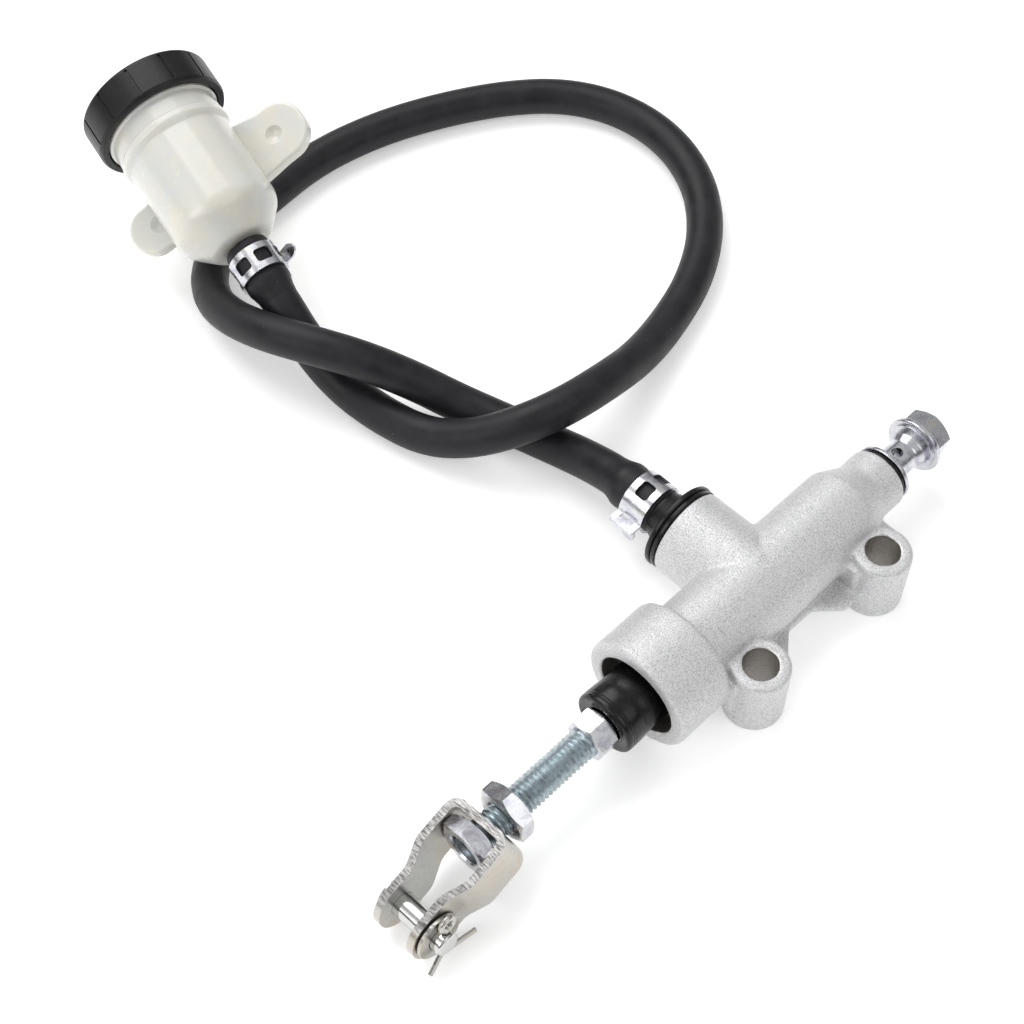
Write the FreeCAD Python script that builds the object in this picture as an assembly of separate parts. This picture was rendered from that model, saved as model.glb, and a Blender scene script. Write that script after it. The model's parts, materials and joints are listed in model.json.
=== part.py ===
"""Motorcycle rear brake master cylinder with remote reservoir. Millimetres.

Frame: origin midway between the two mounting holes, on the mounting plane. +Z is up, away from
that plane, and +X runs along the cylinder's bore, from the clevis to the banjo bolt.
"""
import FreeCAD
import Part
import math
import os

V = FreeCAD.Vector
X_DIR = V(1, 0, 0)
Y_DIR = V(0, 1, 0)
Z_DIR = V(0, 0, 1)

# Bore axis, parallel to X
BORE_Y = 16.0
BORE_Z = 15.0
BORE_R = 7.0

# Casting, stations along X
COLLAR_FRONT = -47.8
COLLAR_BACK = -31.0
COLLAR_R = 15.0
MOUTH_R = 11.0
MOUTH_DEPTH = 9.6
BARREL_R = 11.5
BARREL_END = 27.0
NECK_START = 34.0
NECK_END = 41.3
NECK_R = 8.3
HOLE_SPACING = 45.0
HOLE_R = 4.3
BOSS_R = 7.7
BOSS_H = 19.0
WEB_TOP = 9.0
WEB_THICK = 2.6

# Fluid inlet, an arm along +Y
INLET_X = -5.3
INLET_R = 11.4
INLET_FACE = BORE_Y + 23.0
INLET_BORE_R = 10.0
INLET_DEPTH = 9.0

# Piston, spring and the parts that stop them
PISTON_REAR = -31.0
PISTON_FRONT = -6.0
BALL_X = -29.0
BALL_R = 3.5
BORE_BLIND = 30.0
STOP_R = 8.6
STOP_END = -34.2

# Pushrod and its M8 thread
ROD_R = 3.95
ROD_END = -100.6
HEX_FRONT = -64.8
HEX_BACK = -58.8
HEX_FLATS = 10.0
NUT_BORE_R = 4.02
NUT_FLATS = 13.0
LOCK_NUT_X = -91.3
LOCK_NUT_H = 4.4

# Clevis: a bent strip, tipped down where it hangs loose on the rod. Its own frame has its origin on the
# bore axis in the middle of the base plate, and its ears lie towards local -X.
STRIP = 2.0
CLEVIS_X = -94.65
CLEVIS_YAW = 2.8
CLEVIS_DROOP = -17.0
CLEVIS_ROLL = -7.5
CLEVIS_INNER_W = 14.0
CLEVIS_H = 13.4
EAR_GAP = 8.8
PIN_REACH = 24.8
PIN_R = 3.0
CLEVIS_NUT_X = -102.6
CLEVIS_NUT_H = 4.4

# Banjo bolt
SHANK_R = 4.9
FLANGE_X = 55.4
FLANGE_R = 7.8
BOLT_FLATS = 11.6
CROSS_HOLE_X = 48.0

# Hose and its two nipples
HOSE_R = 5.25
HOSE_BORE_R = 3.25
NIPPLE_R = 4.2
NIPPLE_LEN = 13.0
HOSE_END_R = 6.2

# Hose clamp
CLAMP_W = 7.5
CLAMP_SHEET = 0.8

# Reservoir: local Z runs up the bottle from the plane where the hose begins
TANK_POS = V(-26.5, 181.55, 24.27)
TANK_AZIMUTH = 80.5
TANK_TIP = 74.2
TANK_ROLL = -117.0
TANK_R = 15.4
TANK_WALL = 1.8
SHOULDER_Z = 9.0
RIM_Z = 48.0
CAP_BOTTOM = 42.2
CAP_TOP = 53.0
CAP_R = 19.35
GRIP_COUNT = 12
EAR_Z = 22.5
EAR_Y = 6.0
EAR_THICK = 4.2
EAR_RIGHT = 23.4
EAR_RIGHT_END = 33.0
EAR_RIGHT_HALF = 8.3
EAR_LEFT = -17.2
EAR_LEFT_END = -26.2
EAR_LEFT_HALF = 7.0

# Hose route, from the reservoir to the inlet
ROUTE = [
    (-26.7, 180.6, 24.0),
    (-29.0, 166.4, 19.9),
    (-30.6, 152.5, 10.8),
    (-30.9, 139.0, 5.6),
    (-29.8, 124.0, 5.25),
    (-26.5, 109.5, 6.0),
    (-20.5, 98.0, 11.0),
    (-11.0, 89.4, 16.3),
    (1.5, 85.6, 17.2),
    (15.0, 85.6, 14.6),
    (30.5, 88.0, 8.8),
    (47.0, 92.2, 5.5),
    (65.5, 98.3, 5.25),
    (82.2, 108.9, 5.25),
    (94.8, 123.6, 5.25),
    (101.4, 141.5, 5.25),
    (100.8, 159.9, 5.25),
    (93.1, 176.2, 5.25),
    (79.4, 188.3, 5.25),
    (61.0, 198.5, 5.25),
    (41.0, 206.0, 5.25),
    (20.0, 209.3, 5.25),
    (0.0, 207.2, 5.25),
    (-15.5, 205.0, 5.25),
    (-29.5, 197.3, 5.25),
    (-37.6, 185.3, 7.8),
    (-40.3, 171.0, 13.8),
    (-39.6, 157.0, 19.4),
    (-35.2, 144.8, 21.2),
    (-28.0, 133.2, 19.2),
    (-19.5, 122.8, 12.4),
    (-13.5, 112.5, 7.0),
    (-8.2, 99.0, 5.25),
    (-4.3, 85.5, 5.4),
    (-3.2, 74.0, 8.5),
    (-4.4, 62.5, 13.6),
    (-5.3, 53.0, 15.0),
    (-5.3, 46.5, 15.0),
]

ALONG_X = FreeCAD.Placement(V(0, BORE_Y, BORE_Z), FreeCAD.Rotation(Z_DIR, X_DIR))
ALONG_Y = FreeCAD.Placement(V(INLET_X, 0, BORE_Z), FreeCAD.Rotation(Z_DIR, Y_DIR))
CLEVIS_TURN = (
    FreeCAD.Rotation(Z_DIR, CLEVIS_YAW)
    * FreeCAD.Rotation(Y_DIR, CLEVIS_DROOP)
    * FreeCAD.Rotation(X_DIR, CLEVIS_ROLL)
)
IN_CLEVIS = FreeCAD.Placement(V(CLEVIS_X, BORE_Y, BORE_Z), CLEVIS_TURN)
TANK_TURN = (
    FreeCAD.Rotation(Z_DIR, TANK_AZIMUTH)
    * FreeCAD.Rotation(Y_DIR, TANK_TIP)
    * FreeCAD.Rotation(Z_DIR, TANK_ROLL)
)
IN_TANK = FreeCAD.Placement(TANK_POS, TANK_TURN)


# ---------------------------------------------------------------- helpers
def placed(shape, placement):
    """A copy of shape, moved from its local frame."""
    moved = shape.copy()
    moved.transformShape(placement.toMatrix())
    return moved


def corner_arc(before, corner, after, radius):
    """First, middle and last point of the arc that rounds a corner."""
    back = (before - corner).normalize()
    ahead = (after - corner).normalize()
    half = back.getAngle(ahead) / 2
    reach = radius / math.tan(half)
    centre = corner + (back + ahead).normalize() * (radius / math.sin(half))
    middle = centre + (corner - centre).normalize() * radius
    return corner + back * reach, middle, corner + ahead * reach


def rounded_outline(corners):
    """Closed wire through (point, radius) corners; a radius of 0 leaves the corner sharp."""
    count = len(corners)
    stops = []
    for i, (point, radius) in enumerate(corners):
        if radius > 0:
            before = corners[i - 1][0]
            after = corners[(i + 1) % count][0]
            stops.append(corner_arc(before, point, after, radius))
        else:
            stops.append((point, None, point))
    edges = []
    for i, (first, middle, last) in enumerate(stops):
        if middle is not None:
            edges.append(Part.Arc(first, middle, last).toShape())
        nxt = stops[(i + 1) % count][0]
        if last.distanceToPoint(nxt) > 1e-6:
            edges.append(Part.LineSegment(last, nxt).toShape())
    return Part.Wire(edges)


def turned(profile):
    """Solid of revolution about local Z, from (radius, height, corner radius) corners."""
    corners = [(V(r, 0, z), rounding) for r, z, rounding in profile]
    return Part.Face(rounded_outline(corners)).revolve(V(0, 0, 0), Z_DIR, 360)


def tube(inner, outer, low, high, rounding=0.0):
    """Ring about local Z, with its outer corners rounded."""
    return turned([(inner, low, 0), (outer, low, rounding), (outer, high, rounding), (inner, high, 0)])


def rod(radius, low, high):
    """Plain cylinder about local Z."""
    return Part.makeCylinder(radius, high - low, V(0, 0, low))


def box(low, high):
    """Box between two corners."""
    return Part.makeBox(high[0] - low[0], high[1] - low[1], high[2] - low[2], V(*low))


def plate(corners, low, high):
    """Prism along Z over rounded (x, y, radius) corners."""
    outline = rounded_outline([(V(x, y, low), rounding) for x, y, rounding in corners])
    return Part.Face(outline).extrude(V(0, 0, high - low))


def hexagon(flats, low, high, chamfer_low, chamfer_high, turn=0.0):
    """Hexagonal prism about local Z, its chosen ends cut back to a cone as on a nut."""
    across = flats / math.sqrt(3)
    angles = [math.radians(60 * k + turn) for k in range(7)]
    points = [V(across * math.cos(a), across * math.sin(a), low) for a in angles]
    prism = Part.Face(Part.makePolygon(points)).extrude(V(0, 0, high - low))
    start = flats / 2 * 0.96
    reach = across + 0.5
    rise = (reach - start) * math.tan(math.radians(30))
    low_r, low_z = (start, low + rise) if chamfer_low else (reach, low)
    high_r, high_z = (start, high - rise) if chamfer_high else (reach, high)
    profile = [(0, low, 0), (low_r, low, 0)]
    if chamfer_low:
        profile.append((reach, low_z, 0))
    if chamfer_high:
        profile.append((reach, high_z, 0))
    profile += [(high_r, high, 0), (0, high, 0)]
    return prism.common(turned(profile))


def export(name, shape):
    """Write one sub-part and print a line about it."""
    shape = shape.removeSplitter()
    shape.exportStep("parts/" + name + ".step")
    size = shape.BoundBox
    print(
        f"{name:22s} solids {len(shape.Solids)} valid {shape.isValid()} volume {shape.Volume:8.1f}"
        f"  x {size.XMin:.1f}..{size.XMax:.1f} y {size.YMin:.1f}..{size.YMax:.1f}"
        f" z {size.ZMin:.1f}..{size.ZMax:.1f}"
    )


# ---------------------------------------------------------------- casting
def housing_barrel():
    """Collar, barrel, tapered shoulder and neck, turned about the bore axis."""
    body = turned([
        (0, COLLAR_FRONT, 0),
        (COLLAR_R, COLLAR_FRONT, 1.2),
        (COLLAR_R, COLLAR_BACK, 1.0),
        (BARREL_R, COLLAR_BACK, 1.2),
        (BARREL_R, BARREL_END, 3.0),
        (NECK_R, NECK_START, 3.0),
        (NECK_R, NECK_END, 0.4),
        (0, NECK_END, 0),
    ])
    return placed(body, ALONG_X)


def housing_inlet_arm():
    """Inlet boss, standing out along +Y."""
    arm = turned([
        (0, BORE_Y, 0),
        (INLET_R + 0.3, BORE_Y, 0),
        (INLET_R, INLET_FACE, 0.4),
        (0, INLET_FACE, 0),
    ])
    return placed(arm, ALONG_Y)


def mounting_boss(x):
    """Upright boss with a little draft, and the block that ties it to the barrel."""
    boss = turned([(0, 0, 0), (BOSS_R, 0, 0.8), (BOSS_R - 0.3, BOSS_H, 0.9), (0, BOSS_H, 0)])
    boss.translate(V(x, 0, 0))
    arm = plate([(x - 6.6, 0, 0), (x + 6.6, 0, 0), (x + 6.6, BORE_Y, 0), (x - 6.6, BORE_Y, 0)], 5.5, 14.5)
    return boss.fuse(arm)


def housing_web():
    """Thin cast web along the barrel, cut back between the bosses."""
    half = HOLE_SPACING / 2
    outline = [
        (-half, -1.5, 0),
        (-12.5, -1.5, 1.0),
        (-5.0, 4.6, 1.5),
        (3.6, 4.4, 1.5),
        (9.6, -1.2, 1.0),
        (half, -1.2, 0),
        (half, BORE_Y, 0),
        (-half, BORE_Y, 0),
    ]
    return plate(outline, WEB_TOP - WEB_THICK, WEB_TOP)


def housing_cavity():
    """Everything bored along the bore axis, from the collar's mouth to the outlet."""
    cavity = turned([
        (0, COLLAR_FRONT - 1, 0),
        (MOUTH_R, COLLAR_FRONT - 1, 0),
        (MOUTH_R, COLLAR_FRONT + MOUTH_DEPTH, 0.6),
        (STOP_R, COLLAR_FRONT + MOUTH_DEPTH, 0),
        (STOP_R, STOP_END, 0),
        (BORE_R, STOP_END, 0),
        (BORE_R, BORE_BLIND, 0),
        (SHANK_R + 0.08, BORE_BLIND + 2.5, 0),
        (SHANK_R + 0.08, NECK_END + 1, 0),
        (0, NECK_END + 1, 0),
    ])
    groove = tube(STOP_R - 0.5, STOP_R + 0.8, -36.9, -35.7)
    return placed(cavity.fuse(groove), ALONG_X)


def housing_inlet_bore():
    """Socket of the inlet seal, the feed drilling and the two ports into the bore."""
    socket = rod(INLET_BORE_R, INLET_FACE - INLET_DEPTH, INLET_FACE + 1)
    feed = rod(3.0, INLET_FACE - INLET_DEPTH - 3, INLET_FACE - INLET_DEPTH + 1)
    supply = rod(1.2, BORE_Y, INLET_FACE - INLET_DEPTH)
    return placed(socket.fuse(feed).fuse(supply), ALONG_Y)


def cylinder_housing():
    """The whole casting, with its bores and bolt holes."""
    half = HOLE_SPACING / 2
    bosses = [mounting_boss(-half), mounting_boss(half)]
    body = housing_barrel().fuse([housing_inlet_arm(), housing_web()] + bosses)
    cuts = [housing_cavity(), housing_inlet_bore()]
    for x in (-half, half):
        hole = rod(HOLE_R, -1, BOSS_H + 1)
        hole.translate(V(x, 0, 0))
        cuts.append(hole)
    return body.cut(cuts)


# ---------------------------------------------------------------- inside the bore
def piston():
    """Spool with a ball socket at its rear and two seal grooves."""
    land = BORE_R - 0.05
    body = turned([
        (0, PISTON_REAR, 0),
        (land, PISTON_REAR, 0.3),
        (land, -25.5, 0),
        (4.5, -25.5, 0),
        (4.5, -21.5, 0),
        (land, -21.5, 0),
        (land, -20.0, 0),
        (4.0, -20.0, 0),
        (4.0, -13.0, 0),
        (land, -13.0, 0),
        (land, -11.0, 0),
        (3.0, -11.0, 0),
        (3.0, PISTON_FRONT, 0.4),
        (0, PISTON_FRONT, 0),
    ])
    socket = Part.makeSphere(BALL_R + 0.06, V(0, 0, BALL_X))
    mouth = Part.makeCone(BALL_R + 1.6, BALL_R - 0.2, 2.6, V(0, 0, PISTON_REAR - 0.5))
    return placed(body.cut([socket, mouth]), ALONG_X)


def cup_seal(low, high, inner):
    """Rubber cup with a lip that flares forward to the bore wall."""
    outer = BORE_R - 0.05
    lip = 1.3
    seal = turned([
        (inner, low, 0),
        (outer - 0.5, low, 0.3),
        (outer, high, 0),
        (outer - lip, high, 0.3),
        (outer - lip - 0.5, low + 1.5, 0.3),
        (inner, low + 1.5, 0),
    ])
    return placed(seal, ALONG_X)


def spring_seat():
    """Flanged cup that centres the return spring on the piston's nose."""
    seat = turned([
        (3.05, -7.6, 0),
        (6.2, -7.6, 0.3),
        (6.2, -6.6, 0.3),
        (3.9, -6.6, 0.2),
        (3.9, -4.5, 0.3),
        (3.05, -4.5, 0),
    ])
    return placed(seat, ALONG_X)


def return_spring():
    """Compression spring from the spring seat to the blind end of the bore."""
    wire_r = 0.6
    coil_r = 5.2
    start = -5.9
    length = BORE_BLIND - start - 0.8
    helix = Part.makeHelix(length / 8, length, coil_r)
    profile = Part.Wire([Part.makeCircle(wire_r, V(coil_r, 0, 0), Y_DIR)])
    coil = Part.Wire(helix).makePipeShell([profile], True, True)
    coil.translate(V(0, 0, start))
    return placed(coil, ALONG_X)


def stop_washer():
    """Washer that keeps the pushrod's shoulder in the bore."""
    return placed(tube(3.9, STOP_R - 0.05, -35.6, -34.3), ALONG_X)


def stop_circlip():
    """Sprung open ring in the groove behind the stop washer, with two drilled lugs."""
    ring = tube(6.4, STOP_R + 0.7, -36.8, -35.8)
    opening = box((-1.6, -STOP_R - 1, -37), (1.6, -5.5, -35.7))
    lugs = []
    for side in (-1, 1):
        lug = rod(1.5, -36.8, -35.8)
        lug.translate(V(side * 3.0, -6.0, 0))
        eye = rod(0.6, -37, -35.6)
        eye.translate(V(side * 3.0, -6.0, 0))
        lugs.append((lug, eye))
    clip = ring.cut(opening).fuse([lug for lug, eye in lugs])
    return placed(clip.cut([eye for lug, eye in lugs]), ALONG_X)


def boot():
    """Rubber cup over the pushrod: a base flange in the mouth, a sleeve and a rolled lip."""
    base = COLLAR_FRONT + MOUTH_DEPTH - 0.05
    sleeve_r = 8.0
    lip = HEX_BACK + 0.35
    profile = [
        (6.6, base, 0),
        (MOUTH_R - 0.1, base, 0.4),
        (MOUTH_R - 0.1, base - 2.2, 0.6),
        (sleeve_r, base - 2.2, 0.8),
        (sleeve_r, -52.5, 1.0),
        (sleeve_r + 0.35, -54.0, 1.0),
        (sleeve_r + 0.35, lip, 1.3),
        (6.3, lip, 0.4),
        (6.3, lip + 0.8, 0.3),
        (4.7, lip + 0.8, 0.3),
        (4.7, lip + 2.4, 0.3),
        (6.6, lip + 3.6, 0.4),
    ]
    return placed(turned(profile), ALONG_X)


# ---------------------------------------------------------------- pushrod and clevis
def pushrod():
    """Ball, shoulder, shank, wrench hexagon and M8 thread, in one piece along X."""
    ball = Part.makeSphere(BALL_R, V(0, 0, BALL_X))
    shaft = turned([
        (0, BALL_X, 0),
        (2.4, BALL_X, 0),
        (2.4, -33.0, 0.3),
        (5.0, -33.0, 0.3),
        (5.0, -34.0, 0.3),
        (3.3, -34.0, 0.2),
        (3.3, HEX_BACK, 0),
        (0, HEX_BACK, 0),
    ])
    wrench = hexagon(HEX_FLATS, HEX_FRONT, HEX_BACK, True, True, 12)
    thread = turned([(0, ROD_END, 0), (ROD_R - 0.6, ROD_END, 0), (ROD_R, ROD_END + 0.6, 0),
                     (ROD_R, HEX_FRONT, 0), (0, HEX_FRONT, 0)])
    return placed(ball.fuse([shaft, wrench, thread]), ALONG_X)


def nut(low, high, turn):
    """Hexagon nut with countersunk ends."""
    sink = NUT_BORE_R + 0.45
    bore = turned([
        (0, low - 0.1, 0),
        (sink, low - 0.1, 0),
        (NUT_BORE_R, low + 0.5, 0),
        (NUT_BORE_R, high - 0.5, 0),
        (sink, high + 0.1, 0),
        (0, high + 0.1, 0),
    ])
    return placed(hexagon(NUT_FLATS, low, high, True, True, turn).cut(bore), ALONG_X)


def strip_side(offset, near_w, far_w, bend):
    """Half of the clevis strip seen from above: (x, y, corner radius) from its base to an ear's end."""
    return [
        (STRIP / 2 - offset, near_w, bend),
        (-12.0, near_w, 5.0),
        (-18.0, far_w, 5.0),
        (-PIN_REACH - CLEVIS_H / 2, far_w, 0),
    ]


def clevis_bracket():
    """U bent from strip, its ears closing in towards the pin, with rounded ends."""
    inner = strip_side(STRIP, CLEVIS_INNER_W / 2, EAR_GAP / 2, 1.8)
    outer = strip_side(0.0, CLEVIS_INNER_W / 2 + STRIP, EAR_GAP / 2 + STRIP, 3.8)
    mirrored_outer = [(x, -y, bend) for x, y, bend in reversed(outer)]
    mirrored_inner = [(x, -y, bend) for x, y, bend in inner]
    band = plate(mirrored_outer + outer + list(reversed(inner)) + mirrored_inner, -20, 20)
    half = CLEVIS_H / 2
    end = -PIN_REACH - half
    side = rounded_outline([
        (V(5, -20, -half), 0),
        (V(5, -20, half), 0),
        (V(end, -20, half), half - 0.05),
        (V(end, -20, -half), half - 0.05),
    ])
    bracket = band.common(Part.Face(side).extrude(V(0, 40, 0)))
    pin_hole = Part.makeCylinder(PIN_R + 0.06, 40, V(-PIN_REACH, -20, 0), Y_DIR)
    rod_hole = Part.makeCylinder(ROD_R + 0.85, 10, V(-5, 0, 0), X_DIR)
    return placed(bracket.cut([pin_hole, rod_hole]), IN_CLEVIS)


# The pin's own frame: local Z points from the head to the drilled end
EAR_FACE = EAR_GAP / 2 + STRIP
PIN_HEAD = -(EAR_FACE + 0.3)
PIN_TIP = EAR_FACE + 4.2
COTTER_Z = EAR_FACE + 2.6
COTTER_LEAN = -36.5
ON_PIN = IN_CLEVIS * FreeCAD.Placement(V(-PIN_REACH, 0, 0), FreeCAD.Rotation(X_DIR, 90))


def clevis_pin():
    """Headed pin with a cross hole for the split pin."""
    body = turned([
        (0, PIN_HEAD - 1.3, 0),
        (4.6, PIN_HEAD - 1.3, 0.4),
        (4.6, PIN_HEAD, 0.3),
        (PIN_R, PIN_HEAD, 0),
        (PIN_R, PIN_TIP, 0.7),
        (0, PIN_TIP, 0),
    ])
    hole = Part.makeCylinder(0.95, 10, V(0, -5, COTTER_Z), Y_DIR)
    hole.rotate(V(0, 0, 0), Z_DIR, COTTER_LEAN)
    return placed(body.cut(hole), ON_PIN)


def pin_washer():
    """Plain washer between the ear and the split pin."""
    start = EAR_FACE + 0.3
    return placed(tube(PIN_R + 0.15, 5.9, start, start + 1.0, 0.2), ON_PIN)


def swept_wire(points, bend, radius):
    """Round wire of the given radius along straight runs joined by bends."""
    path = bent_path(points, [bend] * (len(points) - 2))
    start = points[0]
    heading = points[1] - points[0]
    profile = Part.Wire([Part.makeCircle(radius, start, heading)])
    return path.makePipeShell([profile], True, False)


def bent_path(points, radii):
    """Open wire of straight runs joined by tangent arcs."""
    edges = []
    here = points[0]
    for i, radius in enumerate(radii):
        first, middle, last = corner_arc(points[i], points[i + 1], points[i + 2], radius)
        edges.append(Part.LineSegment(here, first).toShape())
        edges.append(Part.Arc(first, middle, last).toShape())
        here = last
    edges.append(Part.LineSegment(here, points[-1]).toShape())
    return Part.Wire(edges)


def cotter_pin():
    """Split pin: an eye above the pin and two legs spread apart below it."""
    wire_r = 0.75
    eye = Part.makeTorus(1.7, wire_r, V(0, PIN_R + 2.7, COTTER_Z), Z_DIR)
    shank = Part.makeCylinder(wire_r, 2 * PIN_R + 1.4, V(0, PIN_R + 1.3, COTTER_Z), V(0, -1, 0))
    root = V(0, -PIN_R + 0.6, COTTER_Z)
    knee = V(0, -PIN_R - 1.2, COTTER_Z)
    leg_ahead = swept_wire([root, knee, knee + V(9.4, 1.9, 0.8)], 1.1, wire_r * 0.8)
    leg_down = swept_wire([root, knee, knee + V(-4.0, -3.0, 1.2)], 1.1, wire_r * 0.8)
    pin = eye.fuse([shank, leg_ahead, leg_down])
    pin.rotate(V(0, 0, 0), Z_DIR, COTTER_LEAN)
    return placed(pin, ON_PIN)


# ---------------------------------------------------------------- outlet
def outlet_seal():
    """Rubber ring between the neck's face and the banjo washer."""
    return placed(tube(SHANK_R + 0.3, 7.7, NECK_END + 0.05, NECK_END + 1.15, 0.4), ALONG_X)


def banjo_washer():
    """Sealing washer carried by the bolt."""
    start = NECK_END + 1.5
    return placed(tube(SHANK_R + 0.06, 7.8, start, start + 1.2, 0.3), ALONG_X)


def banjo_bolt():
    """Hollow bolt: thread, waisted shank with a cross hole, flare, flange and hexagon."""
    hex_start = FLANGE_X + 2.0
    hex_end = hex_start + 5.4
    tip = FLANGE_X - 23.7
    body = turned([
        (0, tip, 0),
        (SHANK_R - 0.5, tip, 0),
        (SHANK_R, tip + 0.6, 0),
        (SHANK_R, tip + 14.1, 0.2),
        (4.35, tip + 14.4, 0.3),
        (4.35, tip + 20.1, 1.2),
        (5.2, tip + 21.7, 0.8),
        (5.2, FLANGE_X - 0.6, 0),
        (6.6, FLANGE_X - 0.6, 0.2),
        (6.6, FLANGE_X, 0.1),
        (FLANGE_R, FLANGE_X, 0.4),
        (FLANGE_R, FLANGE_X + 1.3, 0.5),
        (6.2, hex_start, 0),
        (0, hex_start, 0),
    ])
    head = hexagon(BOLT_FLATS, hex_start, hex_end, False, True, 8)
    drilling = rod(2.0, tip - 1, CROSS_HOLE_X + 1)
    cross_hole = Part.makeCylinder(1.5, 12, V(-6, 0, CROSS_HOLE_X), X_DIR)
    return placed(body.fuse(head).cut([drilling, cross_hole]), ALONG_X)


# ---------------------------------------------------------------- inlet
def inlet_seal():
    """Rubber grommet: a sleeve in the boss and a double-rimmed flange on its face."""
    seal = turned([
        (8.2, INLET_FACE - INLET_DEPTH + 1, 0),
        (INLET_BORE_R - 0.05, INLET_FACE - INLET_DEPTH + 1, 0.3),
        (INLET_BORE_R - 0.05, INLET_FACE + 0.05, 0),
        (INLET_R + 0.1, INLET_FACE + 0.05, 0.35),
        (INLET_R + 0.1, INLET_FACE + 1.15, 0.35),
        (INLET_R - 0.5, INLET_FACE + 1.4, 0.1),
        (INLET_R + 0.3, INLET_FACE + 1.65, 0.4),
        (INLET_R + 0.3, INLET_FACE + 3.0, 0.6),
        (8.2, INLET_FACE + 3.0, 0),
    ])
    return placed(seal, ALONG_Y)


def barbed_nipple(start, direction):
    """Corners of a nipple with three barbs, from its root outwards along local Z."""
    step = direction * 3.6
    corners = []
    for k in range(3):
        root = start + direction * 1.4 + k * step
        corners += [
            (NIPPLE_R - 0.55, root, 0),
            (NIPPLE_R, root + direction * 0.4, 0),
            (NIPPLE_R, root + direction * 1.0, 0),
            (NIPPLE_R - 0.55, root + direction * 3.0, 0),
        ]
    end = start + direction * NIPPLE_LEN
    return [(NIPPLE_R - 0.55, start, 0)] + corners + [(NIPPLE_R - 0.9, end, 0), (0, end, 0)]


def inlet_fitting():
    """Plastic nipple with a conical root that sits in the grommet."""
    hose_face = ROUTE[-1][1] - 0.05
    foot = INLET_FACE - INLET_DEPTH + 1.2
    profile = [
        (0, foot, 0),
        (8.15, foot, 0.3),
        (8.15, INLET_FACE + 2.6, 1.2),
        (6.2, hose_face - 0.3, 0.6),
        (6.2, hose_face, 0),
    ] + barbed_nipple(hose_face, 1)
    drilling = rod(2.4, foot - 1, 70)
    return placed(turned(profile).cut(drilling), ALONG_Y)


# ---------------------------------------------------------------- hose
def route_radii(points):
    """Arc radius at each inner point: 0.45 of the shorter run over the tangent of half the turn."""
    radii = []
    for before, point, after in zip(points, points[1:], points[2:]):
        arriving = point - before
        leaving = after - point
        shorter = min(arriving.Length, leaving.Length)
        radii.append(0.45 * shorter / math.tan(arriving.getAngle(leaving) / 2))
    return radii


def swollen_end(tip, inward):
    """The hose's end, stretched over a nipple: a sleeve that tapers into the plain hose."""
    sleeve = turned([
        (0, 0, 0),
        (HOSE_END_R, 0, 0.5),
        (HOSE_END_R, NIPPLE_LEN - 1.0, 3.0),
        (HOSE_R, NIPPLE_LEN + 2.0, 0),
        (0, NIPPLE_LEN + 2.0, 0),
    ])
    return placed(sleeve, FreeCAD.Placement(tip, FreeCAD.Rotation(Z_DIR, inward)))


def reservoir_hose():
    """Rubber hose from the reservoir to the inlet, and a report on its bends."""
    points = [V(*point) for point in ROUTE]
    radii = route_radii(points)
    path = bent_path(points, radii)
    start_heading = (points[1] - points[0]).normalize()
    end_heading = (points[-2] - points[-1]).normalize()
    outer_ring = Part.Wire([Part.makeCircle(HOSE_R, points[0], start_heading)])
    inner_ring = Part.Wire([Part.makeCircle(HOSE_BORE_R, points[0], start_heading)])
    skin = path.makePipeShell([outer_ring], True, False)
    hollow = path.makePipeShell([inner_ring], True, False)
    print("hose length", round(path.Length, 1), "bend radii", [round(radius) for radius in radii])
    section = math.pi * HOSE_R**2
    print("hose volume", round(skin.Volume), "section x length", round(section * path.Length))
    ends = [swollen_end(points[0], start_heading), swollen_end(points[-1], end_heading)]
    sockets = [
        Part.makeCylinder(NIPPLE_R + 0.05, NIPPLE_LEN + 0.5, points[0] - start_heading * 0.1, start_heading),
        Part.makeCylinder(NIPPLE_R + 0.05, NIPPLE_LEN + 0.5, points[-1] - end_heading * 0.1, end_heading),
    ]
    return skin.fuse(ends).cut([hollow] + sockets)


def upright(corners, low, high):
    """Plate over (z, y, radius) corners, between two values of x."""
    slab = plate(corners, low, high)
    slab.rotate(V(0, 0, 0), Y_DIR, 90)
    return slab


def band_window(angle):
    """Cutter for a rounded opening in the clamp's band, centred at the given angle round it."""
    cutter = upright([(-1.9, -2.3, 0.9), (1.9, -2.3, 0.9), (1.9, 2.3, 0.9), (-1.9, 2.3, 0.9)], 2.0, 9.0)
    cutter.rotate(V(0, 0, 0), Z_DIR, angle)
    return cutter


def hose_clamp(tip, inward, middle, turn, flip):
    """One-piece spring clamp: a windowed band, a slotted plate at one end and a tongue through it."""
    inner = HOSE_END_R + 0.05
    half = CLAMP_W / 2
    band = tube(inner, inner + CLAMP_SHEET, -half, half)
    band = band.cut([band_window(angle) for angle in (75, 130, 185, 240, 295)])
    fork = plate([(6.6, -half, 0), (10.6, -half, 0.6), (10.6, half, 0.6), (6.6, half, 0)], -0.4, 0.4)
    slot = plate([(7.3, -2.1, 0), (8.6, -2.1, 0.3), (8.6, 2.1, 0.3), (7.3, 2.1, 0)], -1, 1)
    fork = fork.cut(slot)
    fork.rotate(V(0, 0, 0), X_DIR, 90)
    tongue = upright([(-1.9, 0.5, 0), (1.9, 0.5, 0), (1.9, -8.7, 1.85), (-1.9, -8.7, 1.85)], 6.5, 7.3)
    clamp = band.fuse([fork, tongue])
    clamp.rotate(V(0, 0, 0), X_DIR, flip)
    clamp.rotate(V(0, 0, 0), Z_DIR, turn)
    clamp.translate(V(0, 0, middle))
    return placed(clamp, FreeCAD.Placement(tip, FreeCAD.Rotation(Z_DIR, inward)))


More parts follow.
